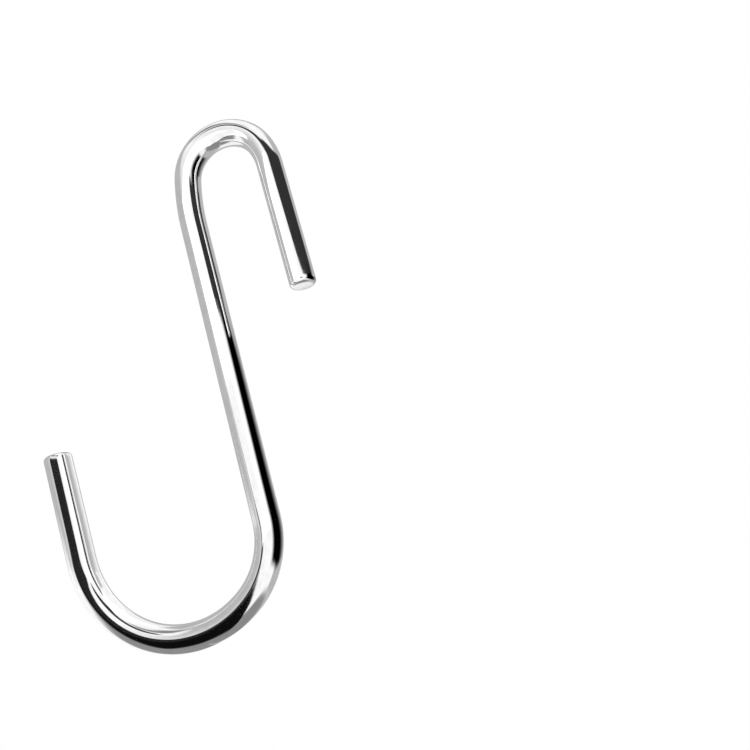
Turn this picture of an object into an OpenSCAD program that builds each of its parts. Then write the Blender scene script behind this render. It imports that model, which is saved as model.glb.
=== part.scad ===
// S hook bent from one length of round steel rod. A small crest goes over a rail, a straight
// shank hangs from it, and a wider bowl at the foot turns the other way to carry the load.
// Both free ends run on as straight arms with rounded edges. The rod leaves the shank in a
// gentle curve at each end and then turns tighter, as a rod bent round a former does.
// Millimetres, +Z up, +Y away from the viewer. The origin is the inside top of the crest, where
// a rail touches. The hook leans so that its centre of mass hangs right below that point.

/* [Rod] */
// Diameter of the round rod
rod_d = 4.5; // [3:0.1:6]
// Radius of the rounded edge at both cut ends
tip_round = 0.75; // [0.2:0.05:1.2]

/* [Shank] */
// Straight length between the two bends
shank_len = 51; // [30:0.5:90]

/* [Upper hook] */
// Inside radius of the gentle curve from the shank into the crest
lead_in_r = 40; // [15:0.5:60]
// Turn made by that gentle curve, in degrees
lead_in_turn = 12; // [4:1:20]
// Inside radius of the crest, which goes over the rail
crest_r = 5.15; // [4:0.05:12]
// Turn made by the crest, in degrees
crest_turn = 147; // [130:1:155]
// Inside radius of the curve from the crest into the upper arm
lead_out_r = 9.25; // [7:0.25:30]
// Turn made by that curve, in degrees
lead_out_turn = 21; // [5:1:30]
// Straight length of the upper arm, with its rounded end
upper_arm_len = 22.8; // [6:0.2:40]

/* [Lower hook] */
// Inside radius of the heel, where the shank turns into the bowl
heel_r = 11.25; // [7:0.25:30]
// Turn made by the heel, in degrees
heel_turn = 54; // [30:1:70]
// Inside radius of the bowl, which carries the load
bowl_r = 15; // [9:0.25:30]
// Turn made by the bowl, in degrees
bowl_turn = 123; // [95:1:130]
// Straight length of the lower arm, with its rounded end
lower_arm_len = 18.4; // [6:0.2:40]

/* [Hidden] */
$fn = 96;
rod_r = rod_d / 2;
steel = [0.80, 0.81, 0.83];
// A collar a micron proud of the rod laps every seam, so that the stretches become one solid
seam_proud = 0.001;
seam_lap = 0.05;

// Each bend is [radius at the middle of the rod, turn], in order from the shank outwards
upper_bends = [
    [lead_in_r + rod_r, lead_in_turn],
    [crest_r + rod_r, crest_turn],
    [lead_out_r + rod_r, lead_out_turn],
];
lower_bends = [
    [heel_r + rod_r, heel_turn],
    [bowl_r + rod_r, bowl_turn],
];

// A run is drawn in the XZ plane. It starts at its origin along +Z and turns towards +X.
// A pose is [x, z, heading], with the heading in degrees from +Z towards +X.
function after_bend(pose, bend) = let (r = bend[0], a = pose[2], b = pose[2] + bend[1])
    [pose[0] + r * (cos(a) - cos(b)), pose[1] + r * (sin(b) - sin(a)), b];
function bend_centre(pose, bend) =
    [pose[0] + bend[0] * cos(pose[2]), pose[1] - bend[0] * sin(pose[2])];
function pose_at(bends, i) = i == 0 ? [0, 0, 0] : after_bend(pose_at(bends, i - 1), bends[i - 1]);
function run_poses(bends) = [for (i = [0 : len(bends)]) pose_at(bends, i)];

// First moment of the rod's centreline, as [x * length, z * length, length]
function straight_moment(pose, length) =
    [pose[0] + sin(pose[2]) * length / 2, pose[1] + cos(pose[2]) * length / 2, 1] * length;
function bend_moment(pose, bend) = let (
        centre = bend_centre(pose, bend),
        length = bend[0] * bend[1] * PI / 180,
        chord = 2 * bend[0] * sin(bend[1] / 2),
        middle = pose[2] + bend[1] / 2,
        reach = bend[0] * chord / length
    ) [centre[0] - reach * cos(middle), centre[1] + reach * sin(middle), 1] * length;
function sum(rows, i = 0) = i < len(rows) - 1 ? rows[i] + sum(rows, i + 1) : rows[i];
function run_moment(bends, arm_len) = let (poses = run_poses(bends), n = len(bends))
    sum(concat(
        [for (i = [0 : n - 1]) bend_moment(poses[i], bends[i])],
        [straight_moment(poses[n], arm_len)]
    ));

// Centre of mass in the shank's own frame, whose origin is the top of the shank
upper_moment = run_moment(upper_bends, upper_arm_len);
foot_moment = run_moment(lower_bends, lower_arm_len);
// The lower run is the same drawing turned half round at the foot of the shank
lower_moment = [-foot_moment[0], -foot_moment[1] - shank_len * foot_moment[2], foot_moment[2]];
shank_moment = straight_moment([0, 0, 180], shank_len);
rod_moment = upper_moment + lower_moment + shank_moment;
mass_centre = [rod_moment[0], rod_moment[1]] / rod_moment[2];

// The hook turns about the centre of its crest until its centre of mass is straight below
crest_centre = bend_centre(run_poses(upper_bends)[1], upper_bends[1]);
hang_lean = atan2(crest_centre[0] - mass_centre[0], crest_centre[1] - mass_centre[1]);

// One bend of rod from its origin along +Z towards +X
module rod_bend(bend) {
    translate([bend[0], 0, 0])
        rotate([90, 0, 180])
            rotate_extrude(angle = bend[1])
                translate([bend[0], 0])
                    circle(r = rod_r);
}

// Collar that joins the stretch below its origin to the one above
module seam() {
    translate([0, 0, -seam_lap])
        cylinder(r = rod_r + seam_proud, h = 2 * seam_lap);
}

// Straight rod along +Z with a flat cut end and a rounded edge
module arm(length) {
    rotate_extrude() {
        square([rod_r, length - tip_round]);
        square([rod_r - tip_round, length]);
        translate([rod_r - tip_round, length - tip_round])
            circle(r = tip_round);
    }
}

// The bends of one end of the hook and the arm that follows them
module run(bends, arm_len) {
    poses = run_poses(bends);
    for (i = [0 : len(bends)])
        translate([poses[i][0], 0, poses[i][1]])
            rotate([0, poses[i][2], 0]) {
                seam();
                if (i < len(bends)) rod_bend(bends[i]);
                else arm(arm_len);
            }
}

module bent_rod() {
    run(upper_bends, upper_arm_len);
    translate([0, 0, -shank_len]) {
        cylinder(r = rod_r, h = shank_len);
        rotate([0, 180, 0])
            run(lower_bends, lower_arm_len);
    }
}

module s_hook() {
    color(steel)
        translate([0, 0, -crest_r])
            rotate([0, -hang_lean, 0])
                translate([-crest_centre[0], 0, -crest_centre[1]])
                    bent_rod();
}

s_hook();
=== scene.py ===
# A chromed steel S hook, bent from one length of round rod, hanging in a white light tent.
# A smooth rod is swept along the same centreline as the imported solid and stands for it.
# Black and grey panels on the tent's wall give the bright rod its stripes. Metres, +Z up.

import math
import bpy
from mathutils import Matrix, Vector


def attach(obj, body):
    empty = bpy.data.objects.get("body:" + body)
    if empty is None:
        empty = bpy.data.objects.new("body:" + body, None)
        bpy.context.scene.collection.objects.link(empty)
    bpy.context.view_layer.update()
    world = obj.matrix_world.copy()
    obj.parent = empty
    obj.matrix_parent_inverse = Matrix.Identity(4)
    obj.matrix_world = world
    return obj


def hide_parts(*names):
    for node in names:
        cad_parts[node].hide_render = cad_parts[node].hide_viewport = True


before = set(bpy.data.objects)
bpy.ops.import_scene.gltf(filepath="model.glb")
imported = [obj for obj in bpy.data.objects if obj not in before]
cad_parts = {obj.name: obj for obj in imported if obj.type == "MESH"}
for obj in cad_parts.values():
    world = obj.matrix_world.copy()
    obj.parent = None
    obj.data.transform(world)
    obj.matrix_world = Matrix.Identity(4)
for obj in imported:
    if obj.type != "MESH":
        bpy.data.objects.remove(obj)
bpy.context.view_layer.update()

MM = 0.001

# The rod, in millimetres and degrees. Radii are inside radii, in order from the shank outwards.
ROD_R = 2.25
TIP_ROUND = 0.75
SHANK_LEN = 51.0
LEAD_IN = (40.0, 12.0)
CREST = (5.15, 147.0)
LEAD_OUT = (9.25, 21.0)
UPPER_ARM_LEN = 22.8
HEEL = (11.25, 54.0)
BOWL = (15.0, 123.0)
LOWER_ARM_LEN = 18.4
# Whole length of the rod, and where along it the rail and the load rest
ROD_LEN = 174.0
RAIL_SEAT = 36.5
LOAD_SEAT = 137.0
# How far the shank leans from upright when the hook hangs by its crest
HANG_LEAN = 20.6448

# The chrome, where it is brightest and where it is dullest
BRIGHT = (0.985, 0.985, 0.988)
DULL = (0.87, 0.87, 0.88)
# Waves per millimetre of each kind of noise in the chrome, round the rod and along it
LINE_WAVES = (5.0, 0.22)
MOTTLE_WAVES = (1.3, 0.8)
SOFT_WAVES = (0.35, 0.16)
GRAIN_WAVES = (7.0, 7.0)
# Depth of their relief, in metres
LINE_DEPTH = 5e-7
MOTTLE_DEPTH = 2.5e-6
SOFT_DEPTH = 9e-6
GRAIN_DEPTH = 1.5e-6
# How far wear reaches to each side of the middle of the two seats, in millimetres
RAIL_WEAR = 8
LOAD_WEAR = 11

# The swept mesh. Its skin lies a few microns inside the solid's.
SKIN_R = 2.246
AROUND = 120
STEP = 0.5
TIP_STEPS = 10

# The stage, in millimetres and degrees
FLOOR_Z = -160
FLOOR_HALF = 2000
FLOOR_WHITE = 0.93
TENT_LIGHT = 0.75
LAMP_WIDTH = 40
LAMP_TILT = 30
LAMP_TURN = -40
# Panels of the tent hang this far from the hook, each layer a little in front of the last
TENT_CENTRE = (0.0, 0.0, -42.0)
TENT_REACH = 900
LAYER_GAP = 10
PANEL_STEP = 2
PANEL_ROWS = 36
# The shank's strip light reaches this far past the top and the foot of the shank
SHANK_LIGHT_ABOVE = 18
SHANK_LIGHT_BELOW = 3
# The lower arm's strip light starts a little before the arm, at this distance along the rod.
# It reaches past the tip by this share of the stretch between its start and the tip.
ARM_LIGHT_START = ROD_LEN - LOWER_ARM_LEN - 4
ARM_LIGHT_PAST = 0.5

# The camera, from the photograph's outline of the hook. Places and clips are in metres, the roll
# in degrees, and the lens and the sensor in millimetres.
CAMERA_AT = (0.05105, -0.09635, -0.05298)
CAMERA_AIM = (0.02863, 0.0, -0.03933)
CAMERA_ROLL = 4.02
CAMERA_LENS = 30.86
SENSOR = 36.0
CAMERA_CLIP = (0.001, 10.0)


def after_bend(pose, bend):
    """The pose [x, z, heading] at the end of a bend, turning from +Z towards +X."""
    x, z, heading = pose
    radius = bend[0] + ROD_R
    start = math.radians(heading)
    end = math.radians(heading + bend[1])
    x += radius * (math.cos(start) - math.cos(end))
    z += radius * (math.sin(end) - math.sin(start))
    return x, z, heading + bend[1]


def bend_centre(pose, bend):
    x, z, heading = pose
    radius = bend[0] + ROD_R
    turn = math.radians(heading)
    return x + radius * math.cos(turn), z - radius * math.sin(turn)


def run_stations(bends, arm_len):
    """Centreline stations (x, z, heading, distance) of one end, from the shank to the arm's end."""
    stations = []
    pose = (0.0, 0.0, 0.0)
    gone = 0.0
    for bend in bends:
        length = (bend[0] + ROD_R) * math.radians(bend[1])
        count = math.ceil(length / STEP)
        for i in range(count):
            part = i / count
            stations.append((*after_bend(pose, (bend[0], bend[1] * part)), gone + length * part))
        pose = after_bend(pose, bend)
        gone += length
    straight = arm_len - TIP_ROUND
    count = math.ceil(straight / STEP)
    x, z, heading = pose
    turn = math.radians(heading)
    for i in range(count + 1):
        reach = straight * i / count
        point = (x + math.sin(turn) * reach, z + math.cos(turn) * reach)
        stations.append((*point, heading, gone + reach))
    return stations


def centreline():
    """Stations (x, z, heading, distance) from the upper arm's end to the lower arm's end."""
    upper = run_stations([LEAD_IN, CREST, LEAD_OUT], UPPER_ARM_LEN)
    lower = run_stations([HEEL, BOWL], LOWER_ARM_LEN)
    upper_len = upper[-1][3]
    rows = [(x, z, heading + 180, upper_len - d) for x, z, heading, d in reversed(upper)]
    count = math.ceil(SHANK_LEN / STEP)
    for i in range(1, count):
        down = SHANK_LEN * i / count
        rows.append((0.0, -down, 180.0, upper_len + down))
    foot = upper_len + SHANK_LEN
    rows += [(-x, -z - SHANK_LEN, heading + 180, foot + d) for x, z, heading, d in lower]
    return rows


def hang(x, z):
    """A point of the shank's frame, in the frame of the hanging hook."""
    pose = after_bend((0.0, 0.0, 0.0), LEAD_IN)
    centre = bend_centre(pose, CREST)
    lean = math.radians(-HANG_LEAN)
    dx = x - centre[0]
    dz = z - centre[1]
    turned_x = dx * math.cos(lean) + dz * math.sin(lean)
    turned_z = -dx * math.sin(lean) + dz * math.cos(lean)
    return turned_x, turned_z - CREST[0]


def rounded_end(row, sign):
    """Rings from an end of the centreline out to the cut face. The sign is -1 at the upper arm."""
    x, z, heading, d = row
    turn = math.radians(heading)
    out = []
    for i in range(1, TIP_STEPS + 1):
        angle = math.radians(90) * i / TIP_STEPS
        reach = sign * TIP_ROUND * math.sin(angle)
        radius = SKIN_R - TIP_ROUND + TIP_ROUND * math.cos(angle)
        point = (x + math.sin(turn) * reach, z + math.cos(turn) * reach)
        out.append((*point, heading, radius, d + reach))
    return out


def rings():
    """Rings (x, z, heading, radius, distance) of the rod, with a rounded edge at both ends."""
    line = centreline()
    body = [(x, z, heading, SKIN_R, d) for x, z, heading, d in line]
    return rounded_end(line[0], -1)[::-1] + body + rounded_end(line[-1], 1)


def rod_points(rows):
    """Points round each ring, which lies square to the heading and has one axis along Y."""
    points = []
    for x, z, heading, radius, _ in rows:
        px, pz = hang(x, z)
        turn = math.radians(heading - HANG_LEAN)
        side = Vector((math.cos(turn), 0, -math.sin(turn)))
        centre = Vector((px, 0, pz))
        for k in range(AROUND):
            a = math.tau * k / AROUND
            point = centre + side * radius * math.cos(a) + Vector((0, 1, 0)) * radius * math.sin(a)
            points.append(point * MM)
    return points


def rod_faces(ring_count):
    """Four-sided faces from ring to ring, and one flat face at each cut end."""
    faces = []
    for i in range(ring_count - 1):
        for k in range(AROUND):
            a = i * AROUND + k
            b = i * AROUND + (k + 1) % AROUND
            faces.append((a, b, b + AROUND, a + AROUND))
    last = (ring_count - 1) * AROUND
    faces.append(tuple(reversed(range(AROUND))))
    faces.append(tuple(range(last, last + AROUND)))
    return faces


def make_rod(name):
    rows = rings()
    mesh = bpy.data.meshes.new(name)
    mesh.from_pydata(rod_points(rows), [], rod_faces(len(rows)))
    mesh.validate()
    rod = bpy.data.objects.new(name, mesh)
    bpy.context.scene.collection.objects.link(rod)
    set_uv(mesh, rows)
    set_straight(mesh, rows)
    for polygon in mesh.polygons:
        polygon.use_smooth = True
    mesh.update()
    return rod


def set_uv(mesh, rows):
    """U goes once round the rod and V is the distance along it, both in centimetres."""
    layer = mesh.uv_layers.new(name="rod")
    girth = math.tau * ROD_R
    for polygon in mesh.polygons:
        seam = any(mesh.loops[i].vertex_index % AROUND == AROUND - 1 for i in polygon.loop_indices)
        for i in polygon.loop_indices:
            ring, k = divmod(mesh.loops[i].vertex_index, AROUND)
            if seam and k == 0:
                k = AROUND
            layer.data[i].uv = (girth * k / AROUND / 10, rows[ring][4] / 10)


def set_straight(mesh, rows):
    """Each point's place on the straightened rod, in millimetres, which the chrome's noise reads."""
    straight = mesh.attributes.new("straight_rod", "FLOAT_VECTOR", "POINT")
    for i, (_, _, _, radius, gone) in enumerate(rows):
        for k in range(AROUND):
            a = math.tau * k / AROUND
            place = (radius * math.cos(a), radius * math.sin(a), gone + TIP_ROUND)
            straight.data[i * AROUND + k].vector = place


def add(tree, kind, **settings):
    node = tree.nodes.new("ShaderNode" + kind)
    for name, value in settings.items():
        setattr(node, name, value)
    return node


def noise(tree, place, per_mm, detail):
    """Noise on the straightened rod, with its number of waves per millimetre round and along."""
    scale = add(tree, "VectorMath", operation="MULTIPLY")
    scale.inputs[1].default_value = (per_mm[0], per_mm[0], per_mm[1])
    tree.links.new(place, scale.inputs[0])
    tex = add(tree, "TexNoise")
    tex.inputs["Scale"].default_value = 1.0
    tex.inputs["Detail"].default_value = detail
    tree.links.new(scale.outputs[0], tex.inputs["Vector"])
    return tex.outputs["Fac"]


def remap(tree, value, low, high, to_low, to_high):
    """Takes low..high smoothly to to_low..to_high, and holds the ends."""
    step = add(tree, "MapRange", interpolation_type="SMOOTHSTEP")
    step.inputs["From Min"].default_value = low
    step.inputs["From Max"].default_value = high
    step.inputs["To Min"].default_value = to_low
    step.inputs["To Max"].default_value = to_high
    tree.links.new(value, step.inputs["Value"])
    return step.outputs[0]


def maths(tree, operation, *values):
    step = add(tree, "Math", operation=operation)
    for i, value in enumerate(values):
        if isinstance(value, (int, float)):
            step.inputs[i].default_value = value
        else:
            tree.links.new(value, step.inputs[i])
    return step.outputs[0]


def bump(tree, height, depth, below=None):
    """Relief of a depth in metres, on top of the relief below it."""
    step = add(tree, "Bump")
    step.inputs["Strength"].default_value = 1.0
    step.inputs["Distance"].default_value = depth
    tree.links.new(height, step.inputs["Height"])
    if below is not None:
        tree.links.new(below, step.inputs["Normal"])
    return step.outputs[0]


def worn_patch(tree, across, along, side, middle, half):
    """Where something rests: one side of the rod (-1 or 1), for half a length about the middle."""
    off_middle = maths(tree, "ABSOLUTE", maths(tree, "SUBTRACT", along, middle))
    near = remap(tree, off_middle, half * 0.4, half, 1.0, 0.0)
    facing = remap(tree, maths(tree, "MULTIPLY", across, side), 1.2, 2.2, 0.0, 1.0)
    return maths(tree, "MULTIPLY", near, facing)


def chrome_wear(tree, across, along, mottle):
    """Worn where the rail and the load rest, broken up by the mottling."""
    rail = worn_patch(tree, across, along, -1, RAIL_SEAT, RAIL_WEAR)
    load = worn_patch(tree, across, along, 1, LOAD_SEAT, LOAD_WEAR)
    broken = remap(tree, mottle, 0.38, 0.6, 0.2, 1.0)
    return maths(tree, "MULTIPLY", maths(tree, "MAXIMUM", rail, load), broken)


def chrome_cut(tree, along):
    """1 at both cut ends and 0 from a little way in."""
    from_end = maths(tree, "MINIMUM", along, maths(tree, "SUBTRACT", ROD_LEN, along))
    return remap(tree, from_end, 0.05, 0.4, 1.0, 0.0)


def chrome_colour(tree, mottle, lines, wear, cut):
    """Near white metal, a shade darker in the mottling, the lines, the worn seats and the cuts."""
    in_mottle = remap(tree, mottle, 0.35, 0.62, 0.5, 0.0)
    in_lines = remap(tree, lines, 0.35, 0.6, 0.35, 0.0)
    dull = maths(tree, "ADD", in_mottle, in_lines)
    dull = maths(tree, "ADD", dull, maths(tree, "MULTIPLY", wear, 0.6))
    dull = maths(tree, "ADD", dull, maths(tree, "MULTIPLY", cut, 0.5))
    colour = add(tree, "Mix", data_type="RGBA")
    colour.inputs["A"].default_value = (*BRIGHT, 1)
    colour.inputs["B"].default_value = (*DULL, 1)
    tree.links.new(dull, colour.inputs["Factor"])
    return colour.outputs["Result"]


def chrome_roughness(tree, mottle, wear, cut):
    """Sharp gloss, softer where it is mottled, worn or cut."""
    in_mottle = remap(tree, mottle, 0.35, 0.65, 0.075, 0.035)
    rough = maths(tree, "ADD", in_mottle, maths(tree, "MULTIPLY", wear, 0.12))
    return maths(tree, "ADD", rough, maths(tree, "MULTIPLY", cut, 0.10))


def chrome_relief(tree, place, mottle, lines, wear, cut):
    """Soft waves, mottling and drawn lines, with a fine grain where it is worn or cut."""
    relief = bump(tree, noise(tree, place, SOFT_WAVES, 1), SOFT_DEPTH)
    relief = bump(tree, mottle, MOTTLE_DEPTH, relief)
    relief = bump(tree, lines, LINE_DEPTH, relief)
    grain = noise(tree, place, GRAIN_WAVES, 2)
    scuffed = maths(tree, "MULTIPLY", grain, maths(tree, "ADD", wear, cut))
    return bump(tree, scuffed, GRAIN_DEPTH, relief)


def chrome():
    """Bright plating over drawn rod: long polishing lines, mottling, soft waves, worn seats."""
    mat = bpy.data.materials.new("bright_chrome")
    mat.use_nodes = True
    tree = mat.node_tree
    shader = tree.nodes["Principled BSDF"]
    shader.inputs["Metallic"].default_value = 1.0
    place = add(tree, "Attribute", attribute_name="straight_rod").outputs["Vector"]
    parts = add(tree, "SeparateXYZ")
    tree.links.new(place, parts.inputs[0])
    across = parts.outputs["X"]
    along = parts.outputs["Z"]
    lines = noise(tree, place, LINE_WAVES, 2)
    mottle = noise(tree, place, MOTTLE_WAVES, 4)
    wear = chrome_wear(tree, across, along, mottle)
    cut = chrome_cut(tree, along)
    colour = chrome_colour(tree, mottle, lines, wear, cut)
    rough = chrome_roughness(tree, mottle, wear, cut)
    relief = chrome_relief(tree, place, mottle, lines, wear, cut)
    tree.links.new(colour, shader.inputs["Base Color"])
    tree.links.new(rough, shader.inputs["Roughness"])
    tree.links.new(relief, shader.inputs["Normal"])
    return mat


def level(grey):
    """The light that shows as this grey, from 0 to 255, by the sRGB curve."""
    g = grey / 255
    return g / 12.92 if g <= 0.04045 else ((g + 0.055) / 1.055) ** 2.4


def glow(name, grey):
    """A material that shows as one grey, and lets light through where cover is under 1."""
    mat = bpy.data.materials.new(name)
    mat.use_nodes = True
    nodes = mat.node_tree.nodes
    links = mat.node_tree.links
    nodes.clear()
    out = nodes.new("ShaderNodeOutputMaterial")
    light = nodes.new("ShaderNodeEmission")
    light.inputs["Color"].default_value = (*(level(grey),) * 3, 1)
    clear = nodes.new("ShaderNodeBsdfTransparent")
    mix = nodes.new("ShaderNodeMixShader")
    amount = nodes.new("ShaderNodeAttribute")
    amount.attribute_name = "cover"
    links.new(amount.outputs["Fac"], mix.inputs[0])
    links.new(clear.outputs[0], mix.inputs[1])
    links.new(light.outputs[0], mix.inputs[2])
    links.new(mix.outputs[0], out.inputs[0])
    return mat


def backdrop_piece(name, mesh, material):
    """A part of the backdrop that only the rod's reflections show."""
    mesh.materials.append(material)
    piece = bpy.data.objects.new(name, mesh)
    bpy.context.scene.collection.objects.link(piece)
    piece.visible_camera = False
    piece.visible_diffuse = False
    piece.visible_shadow = False


def toward(azimuth, elevation):
    """A direction. The azimuth is 0 towards the viewer and 90 to the right of the hook."""
    turn = math.radians(azimuth)
    rise = math.radians(elevation)
    return Vector((math.sin(turn) * math.cos(rise), -math.cos(turn) * math.cos(rise), math.sin(rise)))


def ramp(value, width):
    """Rises smoothly from 0 to 1 as value goes from 0 to width."""
    t = min(1.0, max(0.0, value / max(width, 1e-6)))
    return t * t * (3 - 2 * t)


def panel_columns(stations):
    """Columns (azimuth, lowest and highest elevation) from station to station, a step apart."""
    columns = []
    for (u0, a0, b0), (u1, a1, b1) in zip(stations, stations[1:]):
        count = max(1, round((u1 - u0) / PANEL_STEP))
        for i in range(count):
            t = i / count
            columns.append((u0 + (u1 - u0) * t, a0 + (a1 - a0) * t, b0 + (b1 - b0) * t))
    columns.append(stations[-1])
    return columns


def panel_faces(column_count):
    faces = []
    for i in range(column_count - 1):
        for k in range(PANEL_ROWS):
            a = i * (PANEL_ROWS + 1) + k
            b = a + PANEL_ROWS + 1
            faces.append((a, a + 1, b + 1, b))
    return faces


def make_panel(name, layer, grey, sides, ends, stations):
    """A panel of the tent's wall. Each station is (azimuth, lowest and highest elevation).

    It fades out over sides, in degrees of elevation, at its lower and upper edge, and over
    ends, in degrees of azimuth, at its first and last station. A higher layer lies in front.
    """
    columns = panel_columns(stations)
    reach = TENT_REACH - layer * LAYER_GAP
    points = []
    cover = []
    for azimuth, low, high in columns:
        from_start = ramp(azimuth - stations[0][0], ends[0])
        from_end = ramp(stations[-1][0] - azimuth, ends[1])
        for k in range(PANEL_ROWS + 1):
            elevation = low + (high - low) * k / PANEL_ROWS
            points.append((toward(azimuth, elevation) * reach + Vector(TENT_CENTRE)) * MM)
            up = ramp(elevation - low, sides[0]) * ramp(high - elevation, sides[1])
            cover.append(up * from_start * from_end)
    mesh = bpy.data.meshes.new(name)
    mesh.from_pydata(points, [], panel_faces(len(columns)))
    amount = mesh.attributes.new("cover", "FLOAT", "POINT")
    amount.data.foreach_set("value", cover)
    backdrop_piece(name, mesh, glow(name, grey))


def make_tent():
    """Grey and black panels on the white tent, for the stripes that the chrome mirrors."""
    make_panel("ground", layer=0, grey=140, sides=(1, 12), ends=(1, 1), stations=[
        (-180, -90, -48), (20, -90, -48), (50, -90, -36), (180, -90, -34)])
    make_panel("left_grey", layer=1, grey=187, sides=(8, 10), ends=(1, 50), stations=[
        (-180, -24, 80), (-150, -24, 80), (-120, -21, 56), (-90, -22, 50), (-60, -23, 36),
        (-44, -17, 32), (-10, -2, 34)])
    make_panel("right_grey", layer=1, grey=186, sides=(14, 10), ends=(10, 1), stations=[
        (84, -50, 80), (180, -50, 80)])
    make_panel("ground_left", layer=2, grey=142, sides=(1, 14), ends=(20, 5), stations=[
        (-150, -90, -56), (-120, -90, -50), (-90, -90, -40), (-60, -90, -28), (-45, -90, -14),
        (-30, -70, -14)])
    make_panel("crest_grey", layer=3, grey=140, sides=(8, 10), ends=(14, 20), stations=[
        (-92, 38, 56), (-75, 34, 62), (-55, 38, 62), (-35, 44, 62), (-10, 50, 64)])
    make_panel("black_wall", layer=4, grey=0, sides=(8, 5), ends=(22, 62), stations=[
        (42, -22, 56), (62, -22, 60), (80, -24, 62), (100, -26, 58), (120, -24, 42),
        (134, -20, 36), (176, -10, 30)])
    make_panel("arm_band", layer=5, grey=50, sides=(3, 4), ends=(4, 12), stations=[
        (-44, 31, 42), (-30, 33, 48), (-15, 36, 51), (0, 37, 53), (10, 33, 58), (18, 31, 61),
        (34, 33, 63), (60, 38, 63), (90, 42, 61), (115, 40, 58), (138, 36, 50)])
    make_panel("low_band", layer=6, grey=38, sides=(2, 3), ends=(6, 4), stations=[
        (-40, -14, 2), (-30, -13, 8), (-15, -7, 13), (0, 0, 19), (12, 6, 24), (22, 10, 26)])
    make_panel("foot_black", layer=7, grey=14, sides=(10, 3), ends=(8, 4), stations=[
        (-46, -58, -11), (-34, -62, -8), (-24, -64, -9), (-12, -68, -14), (0, -70, -22),
        (12, -72, -32), (26, -74, -48), (40, -76, -62)])


def make_strip_light(name, first, last, bearing, reach, width, grey):
    """A long light beside a straight stretch of the rod. Only the chrome mirrors it.

    The stretch goes down from first to last, two points of the shank's frame. The bearing is 0
    towards the viewer and 90 to the right.
    """
    top_x, top_z = hang(*first)
    foot_x, foot_z = hang(*last)
    top = Vector((top_x, 0, top_z))
    foot = Vector((foot_x, 0, foot_z))
    down = (foot - top).normalized()
    right = Vector((-down.z, 0, down.x))
    turn = math.radians(bearing)
    out = Vector((0, -1, 0)) * math.cos(turn) + right * math.sin(turn)
    data = bpy.data.lights.new(name, "AREA")
    data.shape = "RECTANGLE"
    data.size = width * MM
    data.size_y = (foot - top).length * MM
    data.energy = level(grey) * math.pi * data.size * data.size_y
    light = bpy.data.objects.new(name, data)
    centre = ((top + foot) / 2 + out * reach) * MM
    facing = Matrix((down.cross(out), down, out)).transposed().to_4x4()
    light.matrix_world = Matrix.Translation(centre) @ facing
    light.visible_camera = False
    light.visible_diffuse = False
    bpy.context.scene.collection.objects.link(light)


def make_strip_lights():
    """One in front of the shank and one beside the lower arm."""
    top = (0, SHANK_LIGHT_ABOVE)
    foot = (0, -SHANK_LEN - SHANK_LIGHT_BELOW)
    make_strip_light("shank_light", top, foot, bearing=4, reach=20, width=30, grey=252)
    lower_arm = [row for row in centreline() if row[3] > ARM_LIGHT_START]
    tip = Vector(lower_arm[-1][:2])
    foot = Vector(lower_arm[0][:2])
    # The light reaches past the tip, so that its own end doesn't show in the arm
    top = tip + (tip - foot) * ARM_LIGHT_PAST
    make_strip_light("arm_light", top, foot, bearing=122, reach=12, width=24, grey=184)


def rays_that_see(tree, kinds):
    """1 for the kinds of ray that are named, such as "Is Camera Ray", and 0 for all others."""
    path = tree.nodes.new("ShaderNodeLightPath")
    seen = path.outputs[kinds[0]]
    for kind in kinds[1:]:
        either = tree.nodes.new("ShaderNodeMath")
        either.operation = "MAXIMUM"
        tree.links.new(seen, either.inputs[0])
        tree.links.new(path.outputs[kind], either.inputs[1])
        seen = either.outputs[0]
    return seen


def make_floor():
    """A pale floor well below the hook, which takes its shadow and isn't mirrored by it."""
    r = FLOOR_HALF * MM
    z = FLOOR_Z * MM
    mesh = bpy.data.meshes.new("floor")
    mesh.from_pydata([(-r, -r, z), (r, -r, z), (r, r, z), (-r, r, z)], [], [(0, 1, 2, 3)])
    floor = bpy.data.objects.new("floor", mesh)
    bpy.context.scene.collection.objects.link(floor)
    mat = bpy.data.materials.new("white_floor")
    mat.use_nodes = True
    tree = mat.node_tree
    shader = tree.nodes["Principled BSDF"]
    shader.inputs["Base Color"].default_value = (FLOOR_WHITE, FLOOR_WHITE, FLOOR_WHITE, 1)
    shader.inputs["Roughness"].default_value = 1.0
    shader.inputs["Specular IOR Level"].default_value = 0.0
    shader.inputs["Emission Color"].default_value = (1, 1, 1, 1)
    # Makes up what the floor swallows, only as it is seen, so that it meets the white behind it
    seen = rays_that_see(tree, ["Is Camera Ray"])
    fill = tree.nodes.new("ShaderNodeMath")
    fill.operation = "MULTIPLY"
    fill.inputs[1].default_value = 1 - FLOOR_WHITE
    tree.links.new(seen, fill.inputs[0])
    tree.links.new(fill.outputs[0], shader.inputs["Emission Strength"])
    mesh.materials.append(mat)
    # The chrome mirrors the tent's own panels below it
    floor.visible_glossy = False


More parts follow.
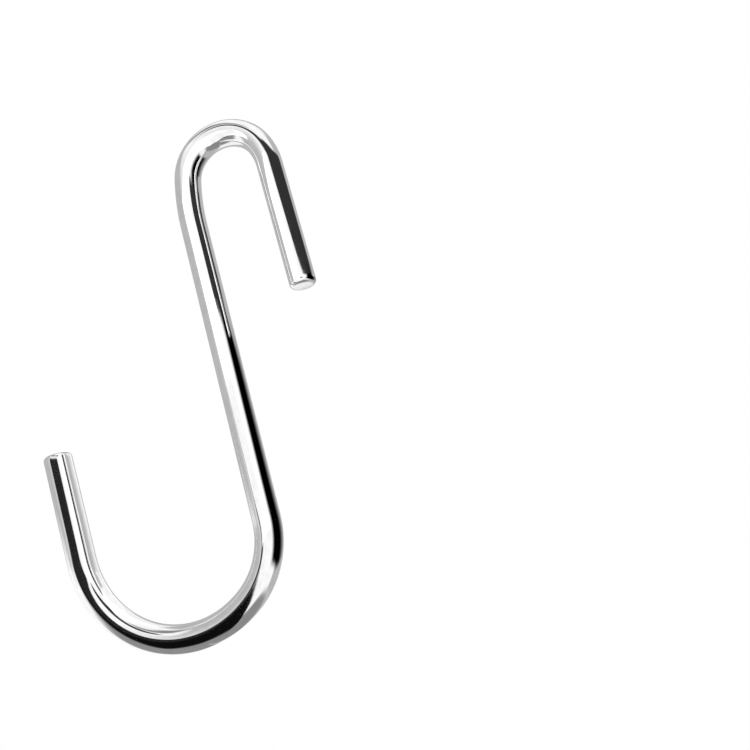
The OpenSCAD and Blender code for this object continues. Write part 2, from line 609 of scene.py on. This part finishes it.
def make_world():
    """White as it is seen and reflected, and a little lower as light, which the sun makes up."""
    world = bpy.data.worlds.new("tent")
    bpy.context.scene.world = world
    world.use_nodes = True
    tree = world.node_tree
    back = tree.nodes["Background"]
    back.inputs["Color"].default_value = (1, 1, 1, 1)
    seen = rays_that_see(tree, ["Is Camera Ray", "Is Glossy Ray"])
    strength = tree.nodes.new("ShaderNodeMapRange")
    strength.inputs["To Min"].default_value = TENT_LIGHT
    strength.inputs["To Max"].default_value = 1.0
    tree.links.new(seen, strength.inputs["Value"])
    tree.links.new(strength.outputs[0], back.inputs["Strength"])


def make_sun():
    """One wide soft lamp from the upper left, which gives the floor its shadow."""
    data = bpy.data.lights.new("soft_lamp", "SUN")
    data.angle = math.radians(LAMP_WIDTH)
    facing = math.cos(math.radians(LAMP_TILT))
    data.energy = (1 - TENT_LIGHT) * math.pi / facing
    lamp = bpy.data.objects.new("soft_lamp", data)
    lamp.rotation_euler = (math.radians(LAMP_TILT), 0, math.radians(LAMP_TURN))
    # The rod mirrors the tent and the strip lights, and not this lamp
    lamp.visible_glossy = False
    bpy.context.scene.collection.objects.link(lamp)


def make_camera():
    """The camera at the photograph's viewing angle."""
    data = bpy.data.cameras.new("camera")
    data.lens = CAMERA_LENS
    data.sensor_width = SENSOR
    data.clip_start = CAMERA_CLIP[0]
    data.clip_end = CAMERA_CLIP[1]
    camera = bpy.data.objects.new("camera", data)
    at = Vector(CAMERA_AT)
    aim = Vector(CAMERA_AIM) - at
    turn = aim.to_track_quat("-Z", "Y").to_matrix().to_4x4()
    roll = Matrix.Rotation(math.radians(CAMERA_ROLL), 4, "Z")
    camera.matrix_world = Matrix.Translation(at) @ turn @ roll
    bpy.context.scene.collection.objects.link(camera)
    bpy.context.scene.camera = camera


rod = make_rod("bent_rod")
rod.data.materials.append(chrome())
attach(rod, "root")
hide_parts("s_hook")
make_tent()
make_strip_lights()
make_floor()
make_world()
make_sun()
make_camera()

bpy.context.scene.view_settings.view_transform = "Standard"
